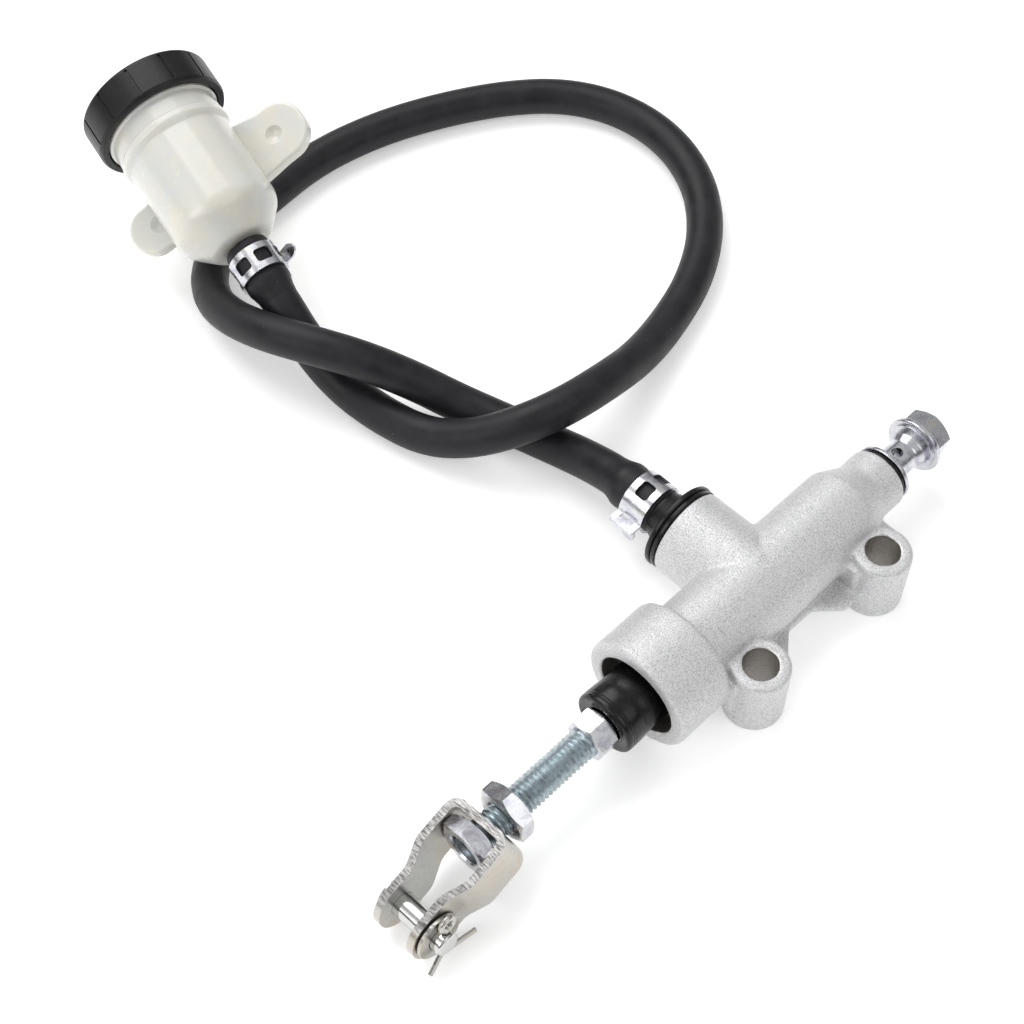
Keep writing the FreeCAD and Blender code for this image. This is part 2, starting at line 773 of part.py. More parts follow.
# ---------------------------------------------------------------- reservoir
def tank_ear(dimple_x, end_x, half):
    """Flat ear reaching from the bottle's side, soft along its edges, with a blind dimple in one face."""
    side = math.copysign(1, end_x)
    outline = [
        (side * 8.0, EAR_Z - 10.5, 0),
        (side * 14.0, EAR_Z - 9.0, 2.0),
        (end_x - side * 1.3 * half, EAR_Z - half, 2.0),
        (end_x, EAR_Z - half, half - 0.6),
        (end_x, EAR_Z + half, half - 0.6),
        (end_x - side * 1.3 * half, EAR_Z + half, 2.0),
        (side * 14.0, EAR_Z + 10.0, 2.0),
        (side * 8.0, EAR_Z + 12.0, 0),
    ]
    ear = plate(outline, -EAR_THICK / 2, EAR_THICK / 2)
    rims = [edge for edge in ear.Edges if edge.BoundBox.ZLength < 0.01 and edge.BoundBox.XMax * side > 8.1]
    ear = ear.makeFillet(0.9, rims)
    return ear.cut(Part.makeSphere(3.2, V(dimple_x, EAR_Z, EAR_THICK / 2 + 1.9)))


def reservoir_body():
    """Blown bottle with a threaded neck, a bead, two ears and a barbed nipple."""
    outer = turned([
        (0, -0.2, 0),
        (8.6, 0.0, 3.0),
        (TANK_R, SHOULDER_Z - 1.5, 6.0),
        (TANK_R, 33.0, 1.0),
        (TANK_R + 1.0, 34.6, 1.0),
        (TANK_R + 1.0, 36.2, 0.4),
        (TANK_R + 0.6, 36.8, 0.4),
        (TANK_R + 0.6, 41.6, 0),
        (TANK_R + 1.2, 42.2, 0),
        (TANK_R + 1.2, RIM_Z, 0.4),
        (0, RIM_Z, 0),
    ])
    nipple = turned([(0, 1.0, 0), (NIPPLE_R - 0.55, 1.0, 0)] + barbed_nipple(0.0, -1))
    ears = [
        tank_ear(EAR_RIGHT, EAR_RIGHT_END, EAR_RIGHT_HALF),
        tank_ear(EAR_LEFT, EAR_LEFT_END, EAR_LEFT_HALF),
    ]
    for ear in ears:
        ear.rotate(V(0, 0, 0), X_DIR, 90)
        ear.translate(V(0, EAR_Y, 0))
    inner = TANK_R - TANK_WALL
    hollow = turned([
        (0, TANK_WALL, 0),
        (7.4, TANK_WALL, 2.5),
        (inner, SHOULDER_Z - 0.6, 5.0),
        (inner, RIM_Z + 1, 0),
        (0, RIM_Z + 1, 0),
    ])
    drilling = rod(2.4, -20, 5)
    return placed(outer.fuse([nipple] + ears).cut([hollow, drilling]), IN_TANK)


def reservoir_diaphragm():
    """Rubber bellows that hangs in the neck from a flange on the rim."""
    rim = RIM_Z + 0.05
    inner = TANK_R - TANK_WALL - 0.4
    wall = 1.0
    diaphragm = turned([
        (0, rim - 13.0, 0),
        (inner - 5.5, rim - 13.0, 0.8),
        (inner - 3.2, rim - 5.0, 0.8),
        (inner, rim - 9.0, 1.0),
        (inner, rim, 0),
        (TANK_R + 1.0, rim, 0),
        (TANK_R + 1.0, rim + 1.1, 0.3),
        (inner - wall, rim + 1.1, 0.3),
        (inner - wall, rim - 6.0, 0.3),
        (inner - 3.2, rim - 2.6, 0.5),
        (inner - 6.4, rim - 11.8, 0.5),
        (0, rim - 11.8, 0),
    ])
    return placed(diaphragm, IN_TANK)


def diaphragm_plate():
    """Stiff plate between the diaphragm and the cap, dished in its middle."""
    low = RIM_Z + 1.5
    disc = turned([
        (0, low, 0),
        (TANK_R + 0.8, low, 0.3),
        (TANK_R + 0.8, low + 0.9, 0.3),
        (6.0, low + 0.9, 0.4),
        (6.0, low + 0.7, 0),
        (0, low + 0.7, 0),
    ])
    return placed(disc, IN_TANK)


def reservoir_cap():
    """Screw cap with broad grip pads parted by narrow grooves."""
    ceiling = RIM_Z + 2.7
    cap = turned([
        (0, ceiling, 0),
        (17.1, ceiling, 0.3),
        (17.1, CAP_BOTTOM, 0.3),
        (CAP_R - 0.5, CAP_BOTTOM, 0.3),
        (CAP_R, CAP_BOTTOM + 1.0, 0.4),
        (CAP_R, CAP_TOP, 1.1),
        (14.5, CAP_TOP, 0.4),
        (14.0, CAP_TOP - 0.5, 0.4),
        (0, CAP_TOP - 0.5, 0),
    ])
    grooves = []
    for k in range(GRIP_COUNT):
        groove = box((CAP_R - 0.45, -0.4, CAP_BOTTOM + 1.0), (CAP_R + 1, 0.4, CAP_TOP - 1.1))
        groove.rotate(V(0, 0, 0), Z_DIR, 360 / GRIP_COUNT * k + 9)
        grooves.append(groove)
    return placed(cap.cut(grooves), IN_TANK)


# ---------------------------------------------------------------- all parts
def main():
    os.makedirs("parts", exist_ok=True)
    hose_start = V(*ROUTE[0])
    hose_end = V(*ROUTE[-1])
    export("cylinder_housing", cylinder_housing())
    export("piston", piston())
    export("primary_cup", cup_seal(-10.95, -8.0, 3.05))
    export("secondary_cup", cup_seal(-25.45, -21.6, 4.55))
    export("spring_seat", spring_seat())
    export("return_spring", return_spring())
    export("stop_washer", stop_washer())
    export("stop_circlip", stop_circlip())
    export("boot", boot())
    export("pushrod", pushrod())
    export("lock_nut", nut(LOCK_NUT_X, LOCK_NUT_X + LOCK_NUT_H, 0))
    export("clevis_nut", nut(CLEVIS_NUT_X, CLEVIS_NUT_X + CLEVIS_NUT_H, CLEVIS_ROLL))
    export("clevis_bracket", clevis_bracket())
    export("clevis_pin", clevis_pin())
    export("pin_washer", pin_washer())
    export("cotter_pin", cotter_pin())
    export("outlet_seal", outlet_seal())
    export("banjo_washer", banjo_washer())
    export("banjo_bolt", banjo_bolt())
    export("inlet_seal", inlet_seal())
    export("inlet_fitting", inlet_fitting())
    export("reservoir_hose", reservoir_hose())
    tank_down = V(*ROUTE[1]) - hose_start
    export("hose_clamp_reservoir", hose_clamp(hose_start, tank_down, 6.75, 312, 180))
    export("hose_clamp_inlet", hose_clamp(hose_end, Y_DIR, 4.7, 180, 0))
    export("reservoir_body", reservoir_body())
    export("reservoir_diaphragm", reservoir_diaphragm())
    export("diaphragm_plate", diaphragm_plate())
    export("reservoir_cap", reservoir_cap())


main()
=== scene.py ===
"""Rear brake master cylinder with its remote reservoir: looks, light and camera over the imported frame.

Row frame, in metres: origin midway between the mounting holes, +Z up, +X along the bore.
"""
import bpy
import bmesh
import json
import math
import numpy as np
from mathutils import Matrix, Vector, noise


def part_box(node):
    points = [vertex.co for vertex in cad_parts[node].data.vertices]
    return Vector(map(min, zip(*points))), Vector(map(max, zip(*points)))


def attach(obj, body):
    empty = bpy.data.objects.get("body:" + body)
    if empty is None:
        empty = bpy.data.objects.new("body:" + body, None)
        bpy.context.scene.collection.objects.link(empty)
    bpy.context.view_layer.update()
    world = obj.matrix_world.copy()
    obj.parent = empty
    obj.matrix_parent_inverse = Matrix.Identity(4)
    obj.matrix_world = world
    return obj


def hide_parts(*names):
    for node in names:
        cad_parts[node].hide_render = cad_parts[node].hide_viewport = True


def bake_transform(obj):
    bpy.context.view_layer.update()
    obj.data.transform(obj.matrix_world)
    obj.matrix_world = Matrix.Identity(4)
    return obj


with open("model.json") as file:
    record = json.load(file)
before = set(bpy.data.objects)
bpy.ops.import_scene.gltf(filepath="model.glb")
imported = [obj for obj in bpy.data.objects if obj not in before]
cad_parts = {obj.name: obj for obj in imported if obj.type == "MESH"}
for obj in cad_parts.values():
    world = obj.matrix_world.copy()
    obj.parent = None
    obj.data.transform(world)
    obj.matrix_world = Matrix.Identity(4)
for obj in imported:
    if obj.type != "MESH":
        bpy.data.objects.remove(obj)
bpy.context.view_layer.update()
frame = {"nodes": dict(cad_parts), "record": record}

MM = 0.001
NODES = frame["nodes"]
RECORD = frame["record"]

# Camera
CAMERA_PLACE = Vector((-0.2049, -0.1033, 0.3730))
CAMERA_TURN = (math.radians(34.61), 0.0, math.radians(-44.5))
CAMERA_LENS = 61.6

# Place that the lights face
LIT_PLACE = Vector((0, 0.1, 0))

# Hose: the route of its centreline, from the reservoir to the inlet, in millimetres
HOSE_R = 5.25
HOSE_END_R = 6.2
NIPPLE_R = 4.2
ROUTE = [
    (-26.7, 180.6, 24.0),
    (-29.0, 166.4, 19.9),
    (-30.6, 152.5, 10.8),
    (-30.9, 139.0, 5.6),
    (-29.8, 124.0, 5.25),
    (-26.5, 109.5, 6.0),
    (-20.5, 98.0, 11.0),
    (-11.0, 89.4, 16.3),
    (1.5, 85.6, 17.2),
    (15.0, 85.6, 14.6),
    (30.5, 88.0, 8.8),
    (47.0, 92.2, 5.5),
    (65.5, 98.3, 5.25),
    (82.2, 108.9, 5.25),
    (94.8, 123.6, 5.25),
    (101.4, 141.5, 5.25),
    (100.8, 159.9, 5.25),
    (93.1, 176.2, 5.25),
    (79.4, 188.3, 5.25),
    (61.0, 198.5, 5.25),
    (41.0, 206.0, 5.25),
    (20.0, 209.3, 5.25),
    (0.0, 207.2, 5.25),
    (-15.5, 205.0, 5.25),
    (-29.5, 197.3, 5.25),
    (-37.6, 185.3, 7.8),
    (-40.3, 171.0, 13.8),
    (-39.6, 157.0, 19.4),
    (-35.2, 144.8, 21.2),
    (-28.0, 133.2, 19.2),
    (-19.5, 122.8, 12.4),
    (-13.5, 112.5, 7.0),
    (-8.2, 99.0, 5.25),
    (-4.3, 85.5, 5.4),
    (-3.2, 74.0, 8.5),
    (-4.4, 62.5, 13.6),
    (-5.3, 53.0, 15.0),
    (-5.3, 46.5, 15.0),
]

# Bore, holes and machined faces of the casting, in millimetres; FAR stands for no such face nearby
BORE = Vector((0.0, 16.0, 15.0))
MOUTH_R = 11.0
MOUTH_END_X = -36.0
HOLES_X = (-22.5, 22.5)
HOLE_R = 4.3
INLET_X = -5.3
INLET_BORE_R = 10.0
INLET_START_Y = 28.0
INLET_FACE_Y = 30.0
NECK_FACE_R = 9.0
DRILLING_R = 7.4
FAR = 9.0

# Flat pads beside the mounting bosses, in millimetres
PAD_SIZE = Vector((4.0, 6.2, 11.2))
PAD_OFFSET = 6.6
PAD_Y = 3.9
PAD_Z = 11.0

# Cast skin, in millimetres: it softens beyond CRISP from a machined surface, fully after SOFT more
VOXEL = 0.42
CRISP = 0.5
SOFT = 1.2
MACHINED = 0.32
SOFT_WEIGHT = 0.5
SOFT_ROUNDS = 5
EVEN_WEIGHT = 0.3
EVEN_ROUNDS = 2
WAVES_PER_MM = 0.42
WAVE_HEIGHT = 0.10

# Direction across the clevis strip, towards its sheared edges
STRIP_EDGE = (-0.296, 0.116, 0.948)

# Pushrod thread, M8 x 1.25, in millimetres; crest and flank are shares of the pitch, and HAIR is a
# clearance that keeps one surface just off another
THREAD_R = 3.95
THREAD_DEPTH = 0.68
PITCH = 1.25
HEX_FRONT = -64.8
THREAD_SIDES = 72
RINGS_PER_TURN = 10
CREST_SHARE = 0.06
FLANK_SHARE = 0.34
TIP_CHAMFER = 0.9
RUN_OUT = 0.5
OVERLAP = 0.2
HAIR = 0.02


# ---------------------------------------------------------------- mesh helpers
def linked(name, data):
    """New object with that data, in the scene."""
    made = bpy.data.objects.new(name, data)
    bpy.context.scene.collection.objects.link(made)
    return made


def mesh_object(name, points, faces, crease=35):
    """New smooth-shaded object from points in metres; edges sharper than crease stay sharp."""
    mesh = bpy.data.meshes.new(name)
    mesh.from_pydata([tuple(point) for point in points], [], faces)
    piece = linked(name, mesh)
    shade(piece, crease)
    return piece


def shade(piece, crease=35):
    """Smooth shading, with sharp edges above the crease angle."""
    mesh = piece.data
    work = bmesh.new()
    work.from_mesh(mesh)
    bmesh.ops.recalc_face_normals(work, faces=work.faces)
    work.to_mesh(mesh)
    work.free()
    mesh.polygons.foreach_set("use_smooth", [True] * len(mesh.polygons))
    mesh.set_sharp_from_angle(angle=math.radians(crease))


def rounded(profile, rounds=2):
    """Corner-cut copy of an open profile that keeps its two ends."""
    for _ in range(rounds):
        cut = [profile[0]]
        for a, b in zip(profile, profile[1:]):
            cut.append(tuple(0.75 * p + 0.25 * q for p, q in zip(a, b)))
            cut.append(tuple(0.25 * p + 0.75 * q for p, q in zip(a, b)))
        profile = cut + [profile[-1]]
    return profile


def ring_faces(rings, sides, closed):
    """Quads between rings of vertices; closed joins the last ring to the first."""
    faces = []
    for i in range(rings if closed else rings - 1):
        j = (i + 1) % rings
        for k in range(sides):
            m = (k + 1) % sides
            faces.append((i * sides + k, i * sides + m, j * sides + m, j * sides + k))
    return faces


def about_bore(x, radius, angle):
    """Point in metres, from its x and its radius about the bore in millimetres, and its angle."""
    offset = Vector((0, math.cos(angle), math.sin(angle))) * radius
    return (Vector((x, BORE.y, BORE.z)) + offset) * MM


def turned(name, profile, sides=96):
    """Closed ring profile of (radius, x) in millimetres, turned about the bore axis."""
    points = [
        about_bore(x, radius, 2 * math.pi * k / sides)
        for radius, x in profile for k in range(sides)
    ]
    return mesh_object(name, points, ring_faces(len(profile), sides, True))


def swept(name, centres, profile, sides=64):
    """Closed ring profile of (distance along the centres, radius), in metres, swept along them."""
    steps = np.linalg.norm(np.diff(centres, axis=0), axis=1)
    travelled = np.concatenate([[0], np.cumsum(steps)])
    points = []
    for distance, radius in profile:
        centre = Vector([np.interp(distance, travelled, centres[:, i]) for i in range(3)])
        ahead = Vector([np.interp(distance + 0.5 * MM, travelled, centres[:, i]) for i in range(3)])
        across = (ahead - centre).cross(Vector((0, 0, 1))).normalized()
        upward = across.cross(ahead - centre).normalized()
        for k in range(sides):
            angle = 2 * math.pi * k / sides
            points.append(centre + (across * math.cos(angle) + upward * math.sin(angle)) * radius)
    return mesh_object(name, points, ring_faces(len(profile), sides, True))


# ---------------------------------------------------------------- shader helpers
class Look:
    """Principled material whose patterns are laid out in row coordinates."""

    def __init__(self, name, metallic=0.0, **constants):
        self.material = bpy.data.materials.new(name)
        self.material.use_nodes = True
        self.tree = self.material.node_tree
        self.shader = self.tree.nodes["Principled BSDF"]
        self.place = self.tree.nodes.new("ShaderNodeTexCoord").outputs["Object"]
        self.shader.inputs["Metallic"].default_value = metallic
        for socket, value in constants.items():
            self.shader.inputs[socket.replace("_", " ")].default_value = value

    def node(self, kind, **values):
        """New node with some of its inputs set."""
        made = self.tree.nodes.new(kind)
        for socket, value in values.items():
            made.inputs[socket.replace("_", " ")].default_value = value
        return made

    def stretched(self, scale):
        """Row coordinates scaled per axis, for streaks."""
        mapping = self.node("ShaderNodeMapping", Scale=scale)
        self.tree.links.new(self.place, mapping.inputs["Vector"])
        return mapping.outputs["Vector"]

    def noise(self, size, detail=3.0, place=None, distortion=0.0):
        """Noise with features of about that size in metres, or of the stretched place's size 1."""
        made = self.node("ShaderNodeTexNoise", Scale=1 / size, Detail=detail, Distortion=distortion)
        self.tree.links.new(place or self.place, made.inputs["Vector"])
        return made.outputs["Fac"]

    def cells(self, size):
        """Distance to the points of a cell pattern."""
        made = self.node("ShaderNodeTexVoronoi", Scale=1 / size)
        self.tree.links.new(self.place, made.inputs["Vector"])
        return made.outputs["Distance"]

    def remap(self, value, low, high, to_low=0.0, to_high=1.0):
        """Value moved from one range to another, and clamped there."""
        made = self.node("ShaderNodeMapRange", From_Min=low, From_Max=high, To_Min=to_low, To_Max=to_high)
        self.tree.links.new(value, made.inputs["Value"])
        return made.outputs["Result"]

    def mix(self, factor, first, second):
        """Blend of two colours, each a colour or a socket."""
        made = self.tree.nodes.new("ShaderNodeMix")
        made.data_type = "RGBA"
        self.tree.links.new(factor, made.inputs["Factor"])
        for socket, color in ((made.inputs[6], first), (made.inputs[7], second)):
            if isinstance(color, tuple):
                socket.default_value = (*color, 1)
            else:
                self.tree.links.new(color, socket)
        return made.outputs[2]

    def facing(self, direction):
        """1 on flat faces that look along a direction or straight against it, 0 on the others."""
        surface = self.tree.nodes.new("ShaderNodeNewGeometry")
        along = self.tree.nodes.new("ShaderNodeVectorMath")
        along.operation = "DOT_PRODUCT"
        along.inputs[1].default_value = direction
        self.tree.links.new(surface.outputs["True Normal"], along.inputs[0])
        size = self.tree.nodes.new("ShaderNodeMath")
        size.operation = "ABSOLUTE"
        self.tree.links.new(along.outputs["Value"], size.inputs[0])
        return self.remap(size.outputs["Value"], 0.90, 0.97)

    def paint(self, color):
        """Base colour from a socket."""
        self.tree.links.new(color, self.shader.inputs["Base Color"])

    def roughen(self, value):
        """Roughness from a socket."""
        self.tree.links.new(value, self.shader.inputs["Roughness"])

    def relief(self, layers, edge=0.0):
        """Bump from (height socket, depth in metres) layers, over edges softened by a radius."""
        normal = None
        if edge:
            soft = self.node("ShaderNodeBevel", Radius=edge)
            soft.samples = 6
            normal = soft.outputs["Normal"]
        for height, depth in layers:
            bump = self.node("ShaderNodeBump", Distance=depth, Strength=1.0)
            self.tree.links.new(height, bump.inputs["Height"])
            if normal:
                self.tree.links.new(normal, bump.inputs["Normal"])
            normal = bump.outputs["Normal"]
        self.tree.links.new(normal, self.shader.inputs["Normal"])


# ---------------------------------------------------------------- materials
def cast_aluminium():
    """Sand-cast skin: pale, with dark fine grain, shallow pits and a few rubs."""
    look = Look("cast_aluminium", 0.45)
    grain = look.noise(0.27 * MM, 3)
    patches = look.noise(6 * MM, 3)
    pits = look.remap(look.cells(0.75 * MM), 0.10, 0.34)
    rubs = look.remap(look.noise(1.0, 2, look.stretched((900, 140, 500)), 0.6), 0.72, 0.77)
    color = look.mix(look.remap(grain, 0.36, 0.56), (0.40, 0.40, 0.41), (0.73, 0.73, 0.735))
    color = look.mix(look.remap(patches, 0.35, 0.7, 0, 0.18), color, (0.64, 0.64, 0.645))
    color = look.mix(rubs, color, (0.42, 0.42, 0.43))
    look.paint(color)
    look.roughen(look.remap(grain, 0.3, 0.7, 0.58, 0.40))
    look.relief([(look.noise(1.3 * MM, 2), 0.05 * MM), (pits, 0.025 * MM), (grain, 0.10 * MM)])
    return look.material


def machined_aluminium():
    """Turned faces and drilled walls: fine tool marks, greyer than the skin."""
    look = Look("machined_aluminium", 0.95)
    marks = look.noise(1.0, 2, look.stretched((900, 900, 9000)))
    look.paint(look.mix(look.remap(marks, 0.35, 0.65), (0.40, 0.38, 0.36), (0.68, 0.66, 0.63)))
    look.roughen(look.remap(marks, 0.3, 0.7, 0.26, 0.46))
    look.relief([(marks, 0.02 * MM)])
    return look.material


def zinc_steel():
    """Blue-white zinc plate, mottled with faint purple-grey clouds."""
    look = Look("zinc_steel", 1.0)
    clouds = look.noise(3.4 * MM, 2, distortion=0.8)
    tint = look.mix(look.remap(clouds, 0.34, 0.50), (0.44, 0.43, 0.49), (0.60, 0.61, 0.64))
    look.paint(look.mix(look.remap(clouds, 0.56, 0.68), tint, (0.66, 0.65, 0.62)))
    fine = look.noise(0.6 * MM, 2)
    look.roughen(look.remap(fine, 0.3, 0.7, 0.20, 0.30))
    look.relief([(look.noise(2.4 * MM, 1), 0.008 * MM), (fine, 0.002 * MM)])
    return look.material


def thread_zinc():
    """Duller blue zinc on the rolled thread, grimy between its crests."""
    look = Look("thread_zinc", 1.0)
    grime = look.noise(1.1 * MM, 4)
    look.paint(look.mix(look.remap(grime, 0.45, 0.75), (0.46, 0.53, 0.56), (0.25, 0.28, 0.30)))
    look.roughen(look.remap(grime, 0.3, 0.7, 0.30, 0.46))
    look.relief([(grime, 0.010 * MM)])
    return look.material


def bright_steel():
    """Pressed strip under bright zinc: satin faces with a warm tint, striped where it was sheared."""
    look = Look("bright_steel", 1.0)
    edge = look.facing(STRIP_EDGE)
    stripes = look.noise(1.0, 3, look.stretched((4200, 500, 500)))
    clouds = look.noise(12 * MM, 2, distortion=0.4)
    satin = look.mix(look.remap(clouds, 0.38, 0.66), (0.52, 0.52, 0.50), (0.52, 0.48, 0.42))
    sheared = look.mix(look.remap(stripes, 0.35, 0.62), (0.10, 0.10, 0.10), (0.48, 0.47, 0.46))
    look.paint(look.mix(edge, satin, sheared))
    brushed = look.noise(1.0, 2, look.stretched((120, 3200, 3200)))
    look.roughen(look.remap(brushed, 0.3, 0.7, 0.24, 0.36))
    look.relief([(brushed, 0.004 * MM)])
    return look.material


def chrome():
    """Polished pin with faint turning rings."""
    look = Look("chrome", 1.0, Base_Color=(0.58, 0.58, 0.57, 1))
    rings = look.noise(1.0, 2, look.stretched((250, 5200, 250)))
    look.roughen(look.remap(rings, 0.3, 0.7, 0.06, 0.2))
    look.relief([(rings, 0.005 * MM)])
    return look.material


def spring_steel():
    """Oiled dark wire."""
    look = Look("spring_steel", 1.0, Roughness=0.32)
    drawn = look.noise(0.8 * MM, 3)
    look.paint(look.mix(drawn, (0.28, 0.28, 0.30), (0.52, 0.52, 0.54)))
    look.relief([(drawn, 0.01 * MM)])
    return look.material


def black_rubber():
    """Moulded rubber, smooth and rather glossy."""
    look = Look("black_rubber", Specular_IOR_Level=0.32)
    bloom = look.noise(2.6 * MM, 4, distortion=0.4)
    look.paint(look.mix(look.remap(bloom, 0.45, 0.75), (0.004, 0.004, 0.0045), (0.009, 0.009, 0.010)))
    look.roughen(look.remap(bloom, 0.3, 0.7, 0.20, 0.32))
    look.relief([(look.noise(0.5 * MM, 3), 0.005 * MM)])
    return look.material


def hose_rubber():
    """Charcoal rubber, matte, with drawn streaks, faint talc and a few dust specks."""
    look = Look("hose_rubber", Specular_IOR_Level=0.26)
    talc = look.noise(7 * MM, 4, distortion=0.6)
    grain = look.noise(0.45 * MM, 4)
    specks = look.remap(look.cells(5.5 * MM), 0.018, 0.026, 1, 0)
    color = look.mix(look.remap(talc, 0.35, 0.72), (0.0100, 0.0098, 0.0118), (0.020, 0.0195, 0.0230))
    color = look.mix(look.remap(grain, 0.55, 0.75, 0, 0.5), color, (0.022, 0.023, 0.026))
    look.paint(look.mix(specks, color, (0.20, 0.20, 0.19)))
    look.roughen(look.remap(talc, 0.3, 0.7, 0.40, 0.56))
    look.relief([(look.noise(3.0 * MM, 2), 0.06 * MM), (grain, 0.020 * MM)])
    return look.material


def milky_plastic():
    """Blown polyethylene, creamy, translucent and glossy, with wall-thickness clouds."""
    look = Look(
        "milky_plastic",
        Subsurface_Weight=0.55, Subsurface_Radius=(3 * MM, 2.6 * MM, 2 * MM), Subsurface_Scale=1.0,
        IOR=1.45, Coat_Weight=0.35, Coat_Roughness=0.10,
    )
    clouds = look.noise(11 * MM, 3, distortion=0.7)
    look.paint(look.mix(look.remap(clouds, 0.35, 0.68), (0.66, 0.67, 0.645), (0.70, 0.675, 0.60)))
    fine = look.noise(1.6 * MM, 2)
    look.roughen(look.remap(fine, 0.3, 0.7, 0.20, 0.28))
    look.relief([(clouds, 0.12 * MM), (look.noise(2.6 * MM, 2), 0.012 * MM)])
    return look.material


def black_plastic():
    """Moulded black plastic with a fine spark-eroded texture."""
    look = Look("black_plastic", Specular_IOR_Level=0.34)
    texture = look.noise(0.30 * MM, 3)
    wear = look.noise(5 * MM, 4)
    look.paint(look.mix(look.remap(wear, 0.45, 0.75), (0.004, 0.004, 0.005), (0.009, 0.009, 0.010)))
    look.roughen(look.remap(texture, 0.3, 0.7, 0.30, 0.44))
    look.relief([(texture, 0.014 * MM)], 0.25 * MM)
    return look.material


def floor_paper():
    """Pale backdrop paper."""
    look = Look("floor_paper", Roughness=0.9, Emission_Color=(1, 1, 1, 1), Emission_Strength=0.34)
    fibre = look.noise(1.5 * MM, 2)
    look.paint(look.mix(fibre, (0.92, 0.92, 0.92), (0.94, 0.94, 0.94)))
    return look.material


# ---------------------------------------------------------------- pieces
def hose():
    """The hose as one smooth spline, and its centreline as an array of points."""
    curve = bpy.data.curves.new("brake_hose", "CURVE")
    curve.dimensions = "3D"
    spline = curve.splines.new("NURBS")
    spline.points.add(len(ROUTE) - 1)
    for point, place in zip(spline.points, ROUTE):
        point.co = (*(Vector(place) * MM), 1)
        point.radius = HOSE_R * MM
    spline.order_u = 3
    spline.use_endpoint_u = True
    spline.resolution_u = 14
    piece = linked("brake_hose", curve)
    bpy.context.view_layer.update()
    line = bpy.data.meshes.new_from_object(piece)
    centres = np.array([vertex.co for vertex in line.vertices])
    bpy.data.meshes.remove(line)
    curve.bevel_depth = 1.0
    curve.bevel_resolution = 10
    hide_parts("reservoir_hose")
    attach(piece, "housing")
    return piece, centres


def hose_end(name, centres):
    """The hose's end where it is stretched over its nipple and swells each side of the clamp."""
    outline = [
        (0.0, NIPPLE_R + 0.1), (0.0, 5.7), (0.25, 6.05), (0.9, 6.3), (2.2, 6.3), (2.9, HOSE_END_R),
        (10.6, HOSE_END_R), (11.4, 6.35), (12.6, 6.3), (14.0, 5.85), (15.6, 5.45), (17.2, HOSE_R + 0.02),
        (17.2, NIPPLE_R + 0.1),
    ]
    piece = swept(name, centres, [(along * MM, radius * MM) for along, radius in outline])
    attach(piece, "housing")
    return piece


def boot():
    """Rubber cup on the rod, with fine rings behind its rolled lip."""
    low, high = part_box("boot")
    lip = low.x / MM
    base = high.x / MM
    outer = [(MOUTH_R - 0.12, base), (MOUTH_R - 0.12, base - 2.0), (8.4, base - 2.5), (8.0, base - 3.6)]
    outer += [(8.0, lip + 7.4), (8.1, lip + 6.3), (8.30, lip + 5.4)]
    for ring in (lip + 2.6, lip + 1.9):
        outer += [(8.36, ring), (8.26, ring - 0.2), (8.26, ring - 0.3), (8.36, ring - 0.5)]
    outer += [(8.38, lip + 1.0), (8.25, lip + 0.35), (7.7, lip), (6.9, lip), (5.8, lip + 0.15)]
    inner = [(5.0, lip + 0.3), (4.6, lip + 0.8), (4.6, lip + 2.3), (5.4, lip + 3.0)]
    inner += [(6.5, lip + 4.0), (6.6, base - 0.1)]
    piece = turned("boot_rubber", rounded(outer + inner))
    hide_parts("boot")
    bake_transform(piece)
    return piece


def return_coils():
    """The return spring, between the end of the bore and the piston."""
    piece = linked("return_coils", NODES["return_spring"].data.copy())
    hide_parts("return_spring")
    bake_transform(piece)
    return piece


def machined_depth(points):
    """For points in millimetres: how far each is from the nearest machined surface, 0 on it."""
    x, y, z = points.T
    holes = [np.hypot(x - hole, y) - HOLE_R for hole in HOLES_X]
    bore = np.hypot(y - BORE.y, z - BORE.z)
    mouth = np.where(x < MOUTH_END_X, bore - MOUTH_R, FAR)
    inlet = np.where(y > INLET_START_Y, np.hypot(x - INLET_X, z - BORE.z) - INLET_BORE_R, FAR)
    neck = np.where(bore < NECK_FACE_R, x.max() - x, FAR)
    face = np.where(y > INLET_FACE_Y, y.max() - y, FAR)
    drilling = np.where(bore < DRILLING_R, 0.0, FAR)
    return np.maximum(np.min([*holes, mouth, inlet, neck, face, drilling], axis=0), 0.0)


def relax(points, edges, weight, rounds):
    """Moves each point part of the way towards the middle of its neighbours, a number of times."""
    first, second = edges.T
    degree = np.bincount(edges.ravel(), minlength=len(points))
    for _ in range(rounds):
        middle = np.empty_like(points)
        for i in range(3):
            total = np.bincount(first, points[second, i], len(points))
            total += np.bincount(second, points[first, i], len(points))
            middle[:, i] = total / degree
        points += weight[:, None] * (middle - points)


def add_pads(mesh):
    """Adds to the casting's mesh the flat pads that stand beside each boss, against the barrel."""
    work = bmesh.new()
    work.from_mesh(mesh)
    for hole in HOLES_X:
        for side in (-1, 1):
            middle = Vector((hole + side * PAD_OFFSET, PAD_Y, PAD_Z)) * MM
            place = Matrix.LocRotScale(middle, None, PAD_SIZE * MM)
            bmesh.ops.create_cube(work, size=1.0, matrix=place)
    work.to_mesh(mesh)
    work.free()


